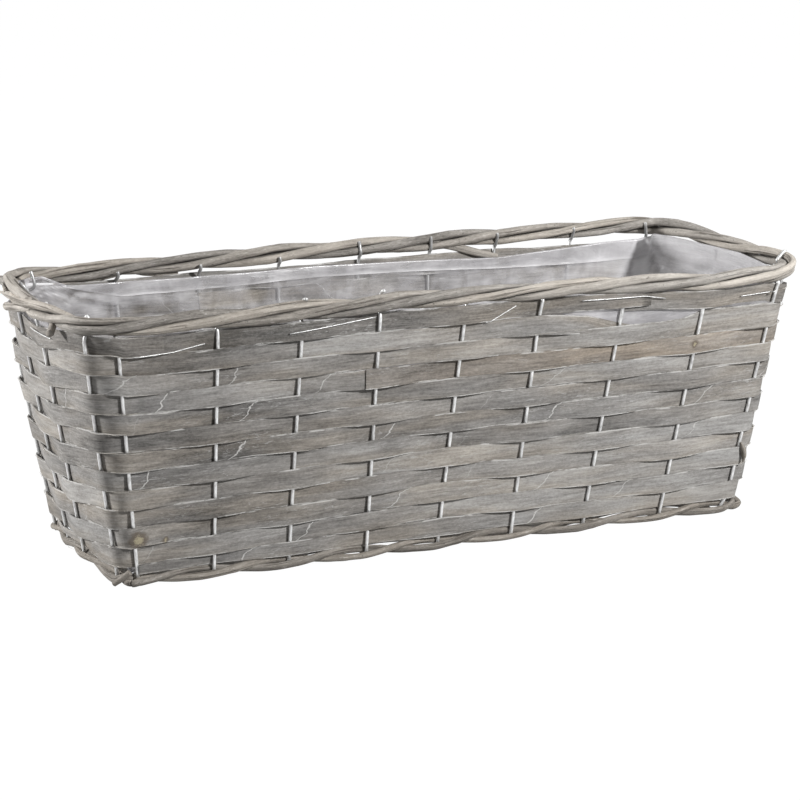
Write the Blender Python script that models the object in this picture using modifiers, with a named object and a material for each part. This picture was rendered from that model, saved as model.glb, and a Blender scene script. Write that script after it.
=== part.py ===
"""Rectangular planter basket: flat splints woven round wire stakes, a twisted rod rim,
a twined rod border, a woven base and a film liner. Metres, +Z up, base centre at the origin."""

import math

import bmesh
import bpy
import numpy as np
from mathutils import Vector

# Wall, measured on the middle of its thickness
BASE_LENGTH = 0.4526
BASE_WIDTH = 0.1532
MOUTH_LENGTH = 0.5120
MOUTH_WIDTH = 0.2016
RIM_HEIGHT = 0.1756
BASE_CORNER_RADIUS = 0.0100
MOUTH_CORNER_RADIUS = 0.0210
END_BULGE = 0.0040

# Stock
STAKE_DIAMETER = 0.0024
SPLINT_THICKNESS = 0.0009
RIM_ROD_DIAMETER = 0.0056
BORDER_ROD_DIAMETER = 0.0040
BASE_STICK_DIAMETER = 0.0050
TIE_WIRE_DIAMETER = 0.0006
LINER_THICKNESS = 0.0006

# Fit
CLEARANCE = 0.0003
WEAVE_SLACK = 0.00045
HOOK_SLACK = 0.0006
LINER_GAP = 0.0014
LINER_BELOW_RIM = 0.0130
ROD_END_GAP = 0.0030

# Weave
RIM_ROD_COUNT = 3
RIM_TURNS = 7
RIM_POINTS_PER_TURN = 10
BORDER_ROD_COUNT = 2
BORDER_POINTS_PER_SPAN = 4
FULL_ROUNDS = 12
ROUND_INTERVALS = FULL_ROUNDS - 1
BASE_SPLINT_COUNT = 6
BASE_STICK_SIDES = 8
LINER_LEVELS = 5
STAKE_LEVELS = 4
TUBE_BEVEL_COUNT = 1
HOOK_ANGLES_DEG = (-135, -180, -225, -270, -305)
SECTIONS = 8

# Places run once round the wall, anticlockwise seen from above: 0 to 1 is the front's straight,
# 1 to 2 the front right corner, 2 to 3 the right end, and so on to 8 after the front left corner.
STRAIGHT_STEP_SHARES = (0.25, 0.5, 0.75)
CORNER_STEP_SHARES = (0.0, 0.25, 0.5, 0.75, 1.0)
LEAST_STEP_SHARE = 0.03
RIM_ROD_START_SHARE = 6.15
WEAVE_START_SHARE = 0.06
LAST_ROUND_END_SHARE = 0.80
STAKE_NAMES = (
    [f"front_{i}" for i in range(1, 9)]
    + [f"right_{i}" for i in range(1, 5)]
    + [f"back_{i}" for i in range(1, 9)]
    + [f"left_{i}" for i in range(1, 5)]
    + ["front_left"]
)
STAKE_FOOT_SHARES = (
    0.115, 0.235, 0.363, 0.483, 0.610, 0.737, 0.876, 0.985,
    1.98, 2.26, 2.58, 2.98,
    3.85, 4.12, 4.25, 4.37, 4.49, 4.62, 4.75, 4.88,
    5.92, 6.27, 6.54, 6.98, 7.90,
)
STAKE_TOP_SHARES = (
    0.139, 0.261, 0.375, 0.506, 0.623, 0.758, 0.894, 1.19,
    1.99, 2.26, 2.58, 3.10,
    3.60, 4.108, 4.242, 4.355, 4.474, 4.607, 4.735, 4.865,
    5.54, 6.233, 6.548, 7.31, 7.96,
)

# Height of the spiral's first and twelfth rounds along the wall. The first is a share of one
# splint pitch above its start, the twelfth a share of the rim's height.
ROUND_PLACE_SHARES = (
    0.06, 0.25, 0.49, 0.62, 0.88, 1.0, 2.5, 3.75, 4.3, 5.0, 5.5, 6.27, 6.54, 7.0, 7.9, 8.06,
)
FIRST_ROUND_LIFT_SHARES = (
    0.0, 0.15, 0.48, 0.36, 0.33, 0.50, 0.36, 0.28, 0.24, 0.12, -0.12, -0.25, -0.02, 0.80, 0.88, 1.0,
)
TWELFTH_ROUND_SHARES = (
    0.844, 0.856, 0.859, 0.861, 0.867, 0.875, 0.873, 0.880, 0.902, 0.902, 0.870, 0.867, 0.873,
    0.931, 0.933, 0.9155,
)
FIRST_ROUND_START_SHARE = 0.08
RIM_LIFT_PLACE_SHARES = (
    0.06, 0.20, 0.30, 0.40, 0.62, 0.72, 0.80, 0.88, 1.0, 1.2, 2.0, 5.9, 6.15, 6.5, 6.8, 7.0, 8.06,
)
RIM_LIFT_SHARES = (
    -0.05, -0.2, -0.1, 0.1, 0.0, -0.1, -0.4, -0.8, -0.7, -0.45, 0.0, 0.0, -0.3, -0.7, -0.4, 0.0, -0.05,
)

# Tie wires on the top rounds: places along the wall, with heights as shares of the rim's
TIE_WIRE_SHARES = (
    ((-0.033, 0.896), (0.07, 0.889), (0.118, 0.909)),
    ((0.238, 0.923), (0.367, 0.945)),
    ((0.536, 0.905), (0.582, 0.942)),
    ((0.686, 0.932), (0.786, 0.920), (0.822, 0.905)),
    ((0.947, 0.890), (1.08, 0.901)),
    ((6.47, 0.897), (6.73, 0.897)),
)

# Base weave: crosswise sticks stand at these shares of the base's half length
BASE_STICK_SHARES = (-0.75, -0.27, 0.21, 0.72)
BASE_PRESS_SHARE = 2.0

STAKE_RADIUS = STAKE_DIAMETER / 2
RIM_ROD_RADIUS = RIM_ROD_DIAMETER / 2
BORDER_ROD_RADIUS = BORDER_ROD_DIAMETER / 2
TIE_WIRE_RADIUS = TIE_WIRE_DIAMETER / 2
WEAVE_OFFSET = STAKE_RADIUS + SPLINT_THICKNESS / 2 + WEAVE_SLACK
SPLINT_FACE = WEAVE_OFFSET + SPLINT_THICKNESS / 2

# Twisted rods touch at the middle of each chord, where the twist is narrowest
RIM_TWIST_RADIUS = (RIM_ROD_DIAMETER + CLEARANCE) / (
    math.sqrt(RIM_ROD_COUNT) * math.cos(math.pi / RIM_POINTS_PER_TURN)
)
RIM_BUNDLE_RADIUS = RIM_TWIST_RADIUS + RIM_ROD_RADIUS
HOOK_RADIUS = RIM_BUNDLE_RADIUS + STAKE_RADIUS + HOOK_SLACK
WALL_TOP_BELOW_RIM = HOOK_RADIUS + STAKE_RADIUS + CLEARANCE

BORDER_REACH = STAKE_RADIUS + BORDER_ROD_RADIUS + WEAVE_SLACK
BORDER_RISE = BORDER_ROD_RADIUS + CLEARANCE
BORDER_HEIGHT = BORDER_ROD_RADIUS + BORDER_RISE
BORDER_TOP = BORDER_HEIGHT + BORDER_RISE + BORDER_ROD_RADIUS

BASE_STICK_HEIGHT = SPLINT_THICKNESS + CLEARANCE + BASE_STICK_DIAMETER / 2
BASE_TOP = 2 * SPLINT_THICKNESS + 2 * CLEARANCE + BASE_STICK_DIAMETER

# The splint starts half sunk behind the border, trimmed where it would meet it, and its pitch
# there follows from the heights of its first and twelfth rounds
WEAVE_BOTTOM = BORDER_TOP + CLEARANCE
FIRST_PITCH = (RIM_HEIGHT * TWELFTH_ROUND_SHARES[0] - WEAVE_BOTTOM) / (
    ROUND_INTERVALS + FIRST_ROUND_START_SHARE
)
FIRST_ROUND_HEIGHT = WEAVE_BOTTOM + FIRST_PITCH * FIRST_ROUND_START_SHARE


def material(name, colour, roughness, metallic=0.0, alpha=1.0):
    made = bpy.data.materials.new(name)
    made.use_nodes = True
    shader = made.node_tree.nodes["Principled BSDF"]
    shader.inputs["Base Color"].default_value = (*colour, 1.0)
    shader.inputs["Roughness"].default_value = roughness
    shader.inputs["Metallic"].default_value = metallic
    shader.inputs["Alpha"].default_value = alpha
    made.diffuse_color = (*colour, alpha)
    return made


def wall_sizes(height):
    """Half length, half width and corner radius of the wall's middle surface at a height."""
    share = height / RIM_HEIGHT
    half_length = (BASE_LENGTH + (MOUTH_LENGTH - BASE_LENGTH) * share) / 2
    half_width = (BASE_WIDTH + (MOUTH_WIDTH - BASE_WIDTH) * share) / 2
    radius = BASE_CORNER_RADIUS + (MOUTH_CORNER_RADIUS - BASE_CORNER_RADIUS) * share
    return half_length, half_width, radius


def section_edges(height):
    """Distance round the wall to the start of each section, and round the whole."""
    half_length, half_width, radius = wall_sizes(height)
    arc = math.pi * radius / 2
    half_round = [2 * (half_length - radius), arc, 2 * (half_width - radius), arc]
    return np.concatenate([[0.0], np.cumsum(half_round * 2)])


def wall_length(place, height):
    """Distance round the wall from place 0."""
    edges = section_edges(height)
    turns = math.floor(place / SECTIONS)
    rest = float(np.interp(place - SECTIONS * turns, range(SECTIONS + 1), edges))
    return turns * edges[-1] + rest


def wall_place(along, height):
    """The place that lies a distance round the wall from place 0."""
    edges = section_edges(height)
    turns, rest = divmod(along, edges[-1])
    return SECTIONS * turns + float(np.interp(rest, edges, range(SECTIONS + 1)))


def corner_places(first, last):
    """Places that keep a polyline round where it turns a corner."""
    sides = range(math.floor(first), math.ceil(last) + 1)
    steps = [side + step for side in sides if side % 2 for step in CORNER_STEP_SHARES]
    return [place for place in steps if first < place < last]


def wall_point(place, height, outward=0.0):
    """A point on the wall's middle surface, moved outward by a distance in the level plane."""
    half_length, half_width, radius = wall_sizes(height)
    section = math.floor(place) % SECTIONS
    share = place - math.floor(place)
    side = section // 2
    angle = (side - 1) * math.pi / 2
    x_side = 1 if section in (1, 2, 3) else -1
    y_side = 1 if section in (3, 4, 5) else -1
    corner_x, corner_y = half_length - radius, half_width - radius
    if section % 2:
        angle += share * math.pi / 2
        x = x_side * corner_x + radius * math.cos(angle)
        y = y_side * corner_y + radius * math.sin(angle)
    elif side % 2:
        x = x_side * half_length
        y = x_side * (2 * share - 1) * corner_y
    else:
        x = -y_side * (2 * share - 1) * corner_x
        y = y_side * half_width
    # Each end bows out, from the start of its first corner to the end of its last
    if section % 4:
        edges = section_edges(height)
        end = edges[4] - edges[1]
        along = edges[section % 4] - edges[1] + share * (edges[section + 1] - edges[section])
        outward += END_BULGE * math.sin(math.pi * along / end)
    return Vector((x + outward * math.cos(angle), y + outward * math.sin(angle), height))


def table(place, places, values):
    first, last = places[0], places[-1]
    return float(np.interp((place - first) % (last - first) + first, places, values))


def splint_pitch_and_height(turn, place):
    """Local pitch and centre height of a round of the spiral at a place from its own start."""
    first = FIRST_ROUND_HEIGHT + FIRST_PITCH * float(
        np.interp(place, ROUND_PLACE_SHARES, FIRST_ROUND_LIFT_SHARES)
    )
    twelfth = RIM_HEIGHT * float(np.interp(place, ROUND_PLACE_SHARES, TWELFTH_ROUND_SHARES))
    pitch = (twelfth - first) / ROUND_INTERVALS
    return pitch, first + pitch * turn


def rim_height(place):
    return RIM_HEIGHT + RIM_ROD_DIAMETER * table(
        place, RIM_LIFT_PLACE_SHARES, RIM_LIFT_SHARES
    )


def stake_places(height):
    share = height / RIM_HEIGHT
    return [
        foot + (top - foot) * share
        for foot, top in zip(STAKE_FOOT_SHARES, STAKE_TOP_SHARES)
    ]


def weave_side(turn, index):
    """+1 where a round passes outside a stake, -1 where it passes inside."""
    return -1 if (index + turn * len(STAKE_NAMES)) % 2 == 0 else 1


def weave_offset(turn, place):
    """How far outside the wall's middle a round runs, swinging evenly from stake to stake."""
    _, height = splint_pitch_and_height(turn, WEAVE_START_SHARE)
    stakes = stake_places(height)
    known = [stakes[-1] - SECTIONS, *stakes, stakes[0] + SECTIONS]
    sides = [weave_side(turn, i) for i in range(-1, len(stakes) + 1)]
    lengths = [wall_length(k, height) for k in known]
    return WEAVE_OFFSET * float(np.interp(wall_length(place, height), lengths, sides))


def new_object(name, data, collection, surface):
    made = bpy.data.objects.new(name, data)
    collection.objects.link(made)
    data.materials.append(surface)
    return made


def tube(name, points, radius, collection, surface):
    curve = bpy.data.curves.new(name, "CURVE")
    curve.dimensions = "3D"
    curve.bevel_depth = radius
    curve.bevel_resolution = TUBE_BEVEL_COUNT
    curve.use_fill_caps = True
    spline = curve.splines.new("POLY")
    spline.points.add(len(points) - 1)
    for made_point, point in zip(spline.points, points):
        made_point.co = (*point, 1.0)
    return new_object(name, curve, collection, surface)


def ribbon(name, lower, upper, thickness, collection, surface):
    """A flat strip between two edges, thickened evenly to both sides."""
    mesh = bpy.data.meshes.new(name)
    count = len(lower)
    faces = [(i, i + 1, count + i + 1, count + i) for i in range(count - 1)]
    mesh.from_pydata([*lower, *upper], [], faces)
    made = new_object(name, mesh, collection, surface)
    solidify = made.modifiers.new("thickness", "SOLIDIFY")
    solidify.thickness = thickness
    solidify.offset = 0.0
    return made


def round_of_splint(turn, collection, surface):
    """One round of the spiral, in front of and behind the stakes in turn."""
    _, middle = splint_pitch_and_height(turn, WEAVE_START_SHARE)
    stakes = stake_places(middle)
    end = WEAVE_START_SHARE + SECTIONS if turn < FULL_ROUNDS else LAST_ROUND_END_SHARE
    bends = {*corner_places(WEAVE_START_SHARE, end), *ROUND_PLACE_SHARES[1:-1]}
    bends = [
        place
        for place in bends
        if place < end and min(abs(place - s) for s in stakes) > LEAST_STEP_SHARE
    ]
    inner = [s for s in stakes if WEAVE_START_SHARE < s < end]
    places = [WEAVE_START_SHARE, *sorted([*inner, *bends]), end]
    lower, upper = [], []
    for place in places:
        outward = weave_offset(turn, place)
        pitch, height = splint_pitch_and_height(turn, place)
        low = max(height - pitch / 2 + CLEARANCE / 2, WEAVE_BOTTOM)
        high = height + pitch / 2 - CLEARANCE / 2
        high = min(high, rim_height(place) - WALL_TOP_BELOW_RIM)
        lower.append(wall_point(place, low, outward))
        upper.append(wall_point(place, high, outward))
    # One round ends where the next begins, so both stop short of that place
    for edge in (lower, upper):
        edge[0].x += CLEARANCE
        edge[-1].x -= CLEARANCE
    name = f"splint_round_{turn + 1:02d}"
    return ribbon(name, lower, upper, SPLINT_THICKNESS, collection, surface)


def stake(index, collection, surface):
    """A wire up the wall and round the inner side of the rim, hooked over its top."""
    top = STAKE_TOP_SHARES[index]
    axis_height = rim_height(top)
    low, high = STAKE_RADIUS / 2, axis_height - HOOK_RADIUS
    levels = [low + (high - low) * level / STAKE_LEVELS for level in range(STAKE_LEVELS + 1)]
    points = [wall_point(stake_places(level)[index], level) for level in levels]
    for turn_deg in HOOK_ANGLES_DEG:
        angle = math.radians(turn_deg)
        centre = wall_point(top, axis_height, HOOK_RADIUS * math.cos(angle))
        points.append(centre + Vector((0.0, 0.0, HOOK_RADIUS * math.sin(angle))))
    return tube(f"stake_{STAKE_NAMES[index]}", points, STAKE_RADIUS, collection, surface)


def rim_rod(number, collection, surface):
    """One of three rods laid up like a rope along the top edge."""
    whole = wall_length(SECTIONS, RIM_HEIGHT)
    first = RIM_ROD_START_SHARE
    start = wall_length(first, RIM_HEIGHT)
    steps = RIM_TURNS * RIM_POINTS_PER_TURN
    even = [wall_place(start + whole * i / steps, RIM_HEIGHT) for i in range(1, steps)]
    gap = ROD_END_GAP / 2
    ends = [wall_place(start + gap, RIM_HEIGHT), wall_place(start + whole - gap, RIM_HEIGHT)]
    places = sorted([*even, *corner_places(*ends), *ends])
    points = []
    for place in places:
        turn = RIM_TURNS * wall_length(place, RIM_HEIGHT) / whole
        twist = 2 * math.pi * (turn + number / RIM_ROD_COUNT)
        point = wall_point(place, RIM_HEIGHT, RIM_TWIST_RADIUS * math.cos(twist))
        point.z = rim_height(place) + RIM_TWIST_RADIUS * math.sin(twist)
        points.append(point)
    return tube(f"rim_rod_{number + 1}", points, RIM_ROD_RADIUS, collection, surface)


def border_rod(number, collection, surface):
    """One of a pair twined round the feet of the stakes, changing places between stakes."""
    feet = stake_places(BORDER_HEIGHT)
    stakes = [feet[-1] - SECTIONS, *feet, feet[0] + SECTIONS]
    count = len(feet)
    lengths = [wall_length(s, BORDER_HEIGHT) for s in stakes]
    steps = range(BORDER_POINTS_PER_SPAN // 2, BORDER_POINTS_PER_SPAN * count + 1)
    turns = [step / BORDER_POINTS_PER_SPAN for step in steps]
    even = [
        wall_place(float(np.interp(turn, range(count + 2), lengths)), BORDER_HEIGHT)
        for turn in turns
    ]
    places = sorted([*even, *corner_places(even[0], even[-1])])
    points = []
    for place in places:
        along = wall_length(place, BORDER_HEIGHT)
        turn = float(np.interp(along, lengths, range(count + 2)))
        twist = math.pi * (turn + number)
        point = wall_point(place, BORDER_HEIGHT, BORDER_REACH * math.cos(twist))
        point.z += BORDER_RISE * math.sin(twist)
        points.append(point)
    return tube(f"border_rod_{number + 1}", points, BORDER_ROD_RADIUS, collection, surface)


def liner(collection, surface):
    """The film bag: one open shell inside the weave."""
    floor = BASE_TOP + CLEARANCE
    top = RIM_HEIGHT - LINER_BELOW_RIM
    inset = -(SPLINT_FACE + LINER_GAP)
    places = [
        section + step
        for section in range(SECTIONS)
        for step in (CORNER_STEP_SHARES[:-1] if section % 2 else STRAIGHT_STEP_SHARES)
    ]
    rings = []
    for level in range(LINER_LEVELS):
        height = floor + (top - floor) * level / (LINER_LEVELS - 1)
        rings.append([wall_point(p, height, inset) for p in places])
    mesh = bpy.data.meshes.new("liner")
    shape = bmesh.new()
    loops = [[shape.verts.new(point) for point in ring] for ring in rings]
    count = len(places)
    for below, above in zip(loops, loops[1:]):
        for i in range(count):
            j = (i + 1) % count
            shape.faces.new((below[i], below[j], above[j], above[i]))
    shape.faces.new(list(reversed(loops[0])))
    shape.to_mesh(mesh)
    shape.free()
    made = new_object("liner", mesh, collection, surface)
    solidify = made.modifiers.new("film", "SOLIDIFY")
    solidify.thickness = LINER_THICKNESS
    solidify.offset = -1.0
    return made


def base_inner_half_sizes():
    """How far the base weave reaches, inside the inner rod of the border."""
    half_length, half_width, _ = wall_sizes(BORDER_HEIGHT)
    margin = BORDER_REACH + BORDER_ROD_RADIUS + CLEARANCE
    return half_length - margin, half_width - margin


def base_stick(number, collection, surface):
    reach, half_width = base_inner_half_sizes()
    mesh = bpy.data.meshes.new("base_stick")
    shape = bmesh.new()
    radius = BASE_STICK_DIAMETER / 2
    bmesh.ops.create_cone(
        shape,
        cap_ends=True,
        segments=BASE_STICK_SIDES,
        radius1=radius,
        radius2=radius,
        depth=2 * half_width,
    )
    shape.to_mesh(mesh)
    shape.free()
    made = new_object(f"base_stick_{number + 1}", mesh, collection, surface)
    made.rotation_euler = (math.pi / 2, 0.0, 0.0)
    made.location = (BASE_STICK_SHARES[number] * reach, 0.0, BASE_STICK_HEIGHT)
    return made


def base_splint(number, collection, surface):
    """A lengthwise splint of the base, over one stick and under the next."""
    reach, half_width = base_inner_half_sizes()
    width = (2 * half_width - CLEARANCE * (BASE_SPLINT_COUNT - 1)) / BASE_SPLINT_COUNT
    low_y = -half_width + number * (width + CLEARANCE)
    outermost = number in (0, BASE_SPLINT_COUNT - 1)
    end = reach - (BASE_CORNER_RADIUS if outermost else 0.0)
    under = SPLINT_THICKNESS / 2
    over = BASE_TOP - SPLINT_THICKNESS / 2
    flat = BASE_STICK_DIAMETER * BASE_PRESS_SHARE
    stations = [(-end, under)]
    for stick, share in enumerate(BASE_STICK_SHARES):
        height = over if (stick + number) % 2 else under
        stations.append((share * reach - flat, height))
        stations.append((share * reach + flat, height))
    stations.append((end, under))
    lower = [(x, low_y, z) for x, z in stations]
    upper = [(x, low_y + width, z) for x, z in stations]
    name = f"base_splint_{number + 1}"
    return ribbon(name, lower, upper, SPLINT_THICKNESS, collection, surface)


def tie_wire(number, collection, surface):
    """A thin wire laid along the outer face of the round that it crosses, over its bends."""
    ends = [place for place, _ in TIE_WIRE_SHARES[number]]
    heights = [share * RIM_HEIGHT for _, share in TIE_WIRE_SHARES[number]]
    stakes = [s - turn * SECTIONS for turn in (0, 1) for s in stake_places(heights[0])]
    places = sorted([*ends, *(s for s in stakes if ends[0] < s < ends[-1])])
    points = []
    for place in places:
        height = float(np.interp(place, ends, heights))
        own = place + SECTIONS if place < WEAVE_START_SHARE else place
        pitch, first = splint_pitch_and_height(0, own)
        turn = min(round((height - first) / pitch), FULL_ROUNDS)
        face = weave_offset(turn, own) + SPLINT_THICKNESS / 2
        points.append(wall_point(place, height, face + CLEARANCE + TIE_WIRE_RADIUS))
    return tube(f"tie_wire_{number + 1}", points, TIE_WIRE_RADIUS, collection, surface)


def build():
    for old in list(bpy.data.objects):
        bpy.data.objects.remove(old, do_unlink=True)
    basket = bpy.data.collections.new("wicker_planter")
    bpy.context.scene.collection.children.link(basket)

    splint_wood = material("splint_wood", (0.33, 0.31, 0.28), 0.75)
    willow = material("willow_rod", (0.45, 0.40, 0.33), 0.6)
    dark_willow = material("border_willow", (0.33, 0.29, 0.25), 0.65)
    wire = material("galvanised_wire", (0.55, 0.56, 0.58), 0.35, metallic=0.9)
    film = material("liner_film", (0.80, 0.80, 0.82), 0.25, alpha=0.5)
    base_wood = material("base_wood", (0.36, 0.33, 0.29), 0.75)

    for turn in range(FULL_ROUNDS + 1):
        round_of_splint(turn, basket, splint_wood)
    for index in range(len(STAKE_NAMES)):
        stake(index, basket, wire)
    for number in range(RIM_ROD_COUNT):
        rim_rod(number, basket, willow)
    for number in range(BORDER_ROD_COUNT):
        border_rod(number, basket, dark_willow)
    for number in range(len(BASE_STICK_SHARES)):
        base_stick(number, basket, willow)
    for number in range(BASE_SPLINT_COUNT):
        base_splint(number, basket, base_wood)
    for number in range(len(TIE_WIRE_SHARES)):
        tie_wire(number, basket, wire)
    liner(basket, film)


build()
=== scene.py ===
"""Woven wood planter with wire stakes, a twisted willow rim and a clear film liner."""

import math

import bpy
import numpy as np
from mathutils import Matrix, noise


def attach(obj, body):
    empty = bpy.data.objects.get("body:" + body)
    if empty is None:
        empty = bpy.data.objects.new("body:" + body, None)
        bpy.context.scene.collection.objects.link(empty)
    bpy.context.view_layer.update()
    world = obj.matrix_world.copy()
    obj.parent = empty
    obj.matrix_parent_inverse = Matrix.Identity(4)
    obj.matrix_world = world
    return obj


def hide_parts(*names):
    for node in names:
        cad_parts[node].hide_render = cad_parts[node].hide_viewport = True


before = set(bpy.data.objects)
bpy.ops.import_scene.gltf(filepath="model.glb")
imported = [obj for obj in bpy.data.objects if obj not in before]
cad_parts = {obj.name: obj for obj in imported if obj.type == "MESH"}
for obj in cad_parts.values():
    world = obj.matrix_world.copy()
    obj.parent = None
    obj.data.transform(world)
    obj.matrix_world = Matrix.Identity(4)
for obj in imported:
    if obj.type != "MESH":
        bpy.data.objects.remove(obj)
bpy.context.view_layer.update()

MM = 0.001

# Wall, on the middle of its thickness, as the solids have it
BASE_LENGTH = 452.6 * MM
BASE_WIDTH = 153.2 * MM
MOUTH_LENGTH = 512.0 * MM
MOUTH_WIDTH = 201.6 * MM
RIM_HEIGHT = 175.6 * MM
BASE_CORNER_RADIUS = 10.0 * MM
MOUTH_CORNER_RADIUS = 21.0 * MM
END_BULGE = 4.0 * MM

# Stock
STAKE_RADIUS = 1.18 * MM
SPLINT_THICKNESS = 0.8 * MM
RIM_ROD_RADIUS = 2.92 * MM
BORDER_ROD_RADIUS = 2.35 * MM
BASE_STICK_RADIUS = 2.5 * MM
TIE_WIRE_RADIUS = 0.34 * MM
CLEARANCE = 0.3 * MM
WEAVE_OFFSET = 1.75 * MM
RIM_TWIST_RADIUS = 3.5 * MM
BORDER_REACH = 3.4 * MM
BORDER_RISE = 2.15 * MM
BORDER_HEIGHT = 4.3 * MM
WEAVE_BOTTOM = 8.9 * MM
BASE_TOP = 7.4 * MM
BASE_STICK_HEIGHT = 3.7 * MM
BASE_STICK_SHARES = (-0.75, -0.27, 0.21, 0.72)
BASE_SPLINTS = 6

# Weave
SECTIONS = 8
FULL_ROUNDS = 12
FIRST_ROUND_HEIGHT = 9.88 * MM
FIRST_PITCH = 12.57 * MM
WEAVE_START = 0.06
LAST_ROUND_END = 0.80
RIM_TURNS = 7
RIM_RODS = 3
STAKE_FEET = np.array([
    0.115, 0.235, 0.363, 0.483, 0.610, 0.737, 0.876, 0.985,
    1.98, 2.26, 2.58, 2.98,
    3.85, 4.12, 4.25, 4.37, 4.49, 4.62, 4.75, 4.88,
    5.92, 6.27, 6.54, 6.98, 7.90,
])
STAKE_TOPS = np.array([
    0.139, 0.261, 0.375, 0.506, 0.623, 0.758, 0.894, 1.19,
    1.99, 2.26, 2.58, 3.10,
    3.60, 4.108, 4.242, 4.355, 4.474, 4.607, 4.735, 4.865,
    5.54, 6.233, 6.548, 7.31, 7.96,
])
STAKE_NAMES = [
    f"{side}_{i + 1}" for side, count in (("front", 8), ("right", 4), ("back", 8), ("left", 4))
    for i in range(count)] + ["front_left"]
# Heights of the first and the twelfth round, by place
ROUND_PLACES = (0.06, 0.25, 0.49, 0.62, 0.88, 1.0, 2.5, 3.75, 4.3, 5.0, 5.5, 6.27, 6.54, 7.0, 7.9, 8.06)
FIRST_LIFTS = (
    0.0, 0.15, 0.48, 0.36, 0.33, 0.50, 0.36, 0.28, 0.24, 0.12, -0.12, -0.25, -0.02, 0.80, 0.88, 1.0)
TWELFTH_SHARES = (
    0.844, 0.856, 0.859, 0.861, 0.867, 0.875, 0.873, 0.880, 0.902, 0.902, 0.870, 0.867, 0.873,
    0.931, 0.933, 0.9155)
# How far the rim's axis stands above its even height, by place
RIM_LIFT_UNIT = 5.6 * MM
RIM_LIFT_PLACES = (
    0.06, 0.20, 0.30, 0.40, 0.62, 0.72, 0.80, 0.88, 1.0, 1.2,
    2.0, 4.6, 4.9, 5.5, 5.9, 6.15, 6.5, 6.8, 7.0, 8.06)
RIM_LIFTS = (
    -0.05, -0.2, -0.1, 0.1, 0.0, -0.1, -0.4, -0.8, -0.7, -0.45,
    0.0, -0.2, -0.55, -0.5, -0.2, -0.3, -0.7, -0.4, 0.0, -0.05)

# How far the top of the back left corner, and the rim over it, are pulled in, in millimetres, and how
# much wider the rim's twist is there
CORNER_PULL_HEIGHTS = (110 * MM, 168 * MM)
CORNER_PULL_PLACES = (4.9, 5.3, 5.8, 6.25)
CORNER_PULLS = (0.0, 5.0, 5.0, 0.0)
RIM_PULL_PLACES = (4.8, 5.0, 5.4, 5.8, 6.1, 6.3)
RIM_PULLS = (0.0, 6.0, 12.0, 11.0, 5.5, 0.5)
RIM_LOOSE_PLACES = (4.5, 4.68, 4.8, 4.92, 5.1)
RIM_LOOSE_SHARES = (1.0, 1.5, 1.75, 1.5, 1.0)
# How far below the rim's axis the splints end
STRIP_BELOW_RIM = 6.2 * MM

# Camera at the photograph's angle
CAMERA_PLACE = (-740.2 * MM, -1635.9 * MM, 510.8 * MM)
CAMERA_PITCH = 0.233
CAMERA_YAW = 0.425
FOCAL_PIXELS = 2674.1
HALF_PICTURE_PIXELS = 400

# Light: lamps as place, width and power, and the share of the world's white that lights the object
LAMPS = {
    "key": ((0.80, -1.50, 1.0), 0.16, 39.0),
    "top": ((0.0, 0.1, 2.2), 1.6, 8.5),
    "fill": ((-1.15, 0.55, 0.42), 0.20, 17.0),
}
LAMP_TARGET = (0.0, 0.0, 0.09)
WORLD_LIGHT = 0.27
FLOOR_HALF_SIZE = 30.0
FLOOR_DROP = 0.2 * MM
FLOOR_GREY = (0.24, 0.24, 0.24)
FLOOR_GLOW = 1.165
FLOOR_GLOW_SHARE = 0.85

RANDOM_STEPS = 997


def wander(distance, wavelength, seed):
    """Smooth random values from -1 to 1 along a distance."""
    steps = np.asarray(distance) / wavelength
    low = np.floor(steps).astype(int)
    share = steps - low
    share = share * share * (3 - 2 * share)
    knots = np.random.default_rng(seed).uniform(-1, 1, RANDOM_STEPS)
    return knots[low % RANDOM_STEPS] * (1 - share) + knots[(low + 1) % RANDOM_STEPS] * share


def ease(low, high, value):
    share = np.clip((value - low) / (high - low), 0, 1)
    return share * share * (3 - 2 * share)


def wall_sizes(height):
    share = height / RIM_HEIGHT
    half_length = (BASE_LENGTH + (MOUTH_LENGTH - BASE_LENGTH) * share) / 2
    half_width = (BASE_WIDTH + (MOUTH_WIDTH - BASE_WIDTH) * share) / 2
    radius = BASE_CORNER_RADIUS + (MOUTH_CORNER_RADIUS - BASE_CORNER_RADIUS) * share
    return half_length, half_width, radius


def section_edges(height):
    """Distances round the wall at which its straights and corners meet."""
    half_length, half_width, radius = wall_sizes(height)
    arc = math.pi * radius / 2
    half_round = [2 * (half_length - radius), arc, 2 * (half_width - radius), arc]
    return np.concatenate([[0.0], np.cumsum(half_round * 2)])


def wall_length(place, height):
    """Distance round the wall from place 0, the left end of the front's straight."""
    edges = section_edges(height)
    turns = np.floor(np.asarray(place) / SECTIONS)
    return turns * edges[-1] + np.interp(place - SECTIONS * turns, range(SECTIONS + 1), edges)


def wall_place(along, height):
    edges = section_edges(height)
    turns, rest = np.divmod(along, edges[-1])
    return SECTIONS * turns + np.interp(rest, edges, range(SECTIONS + 1))


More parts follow.
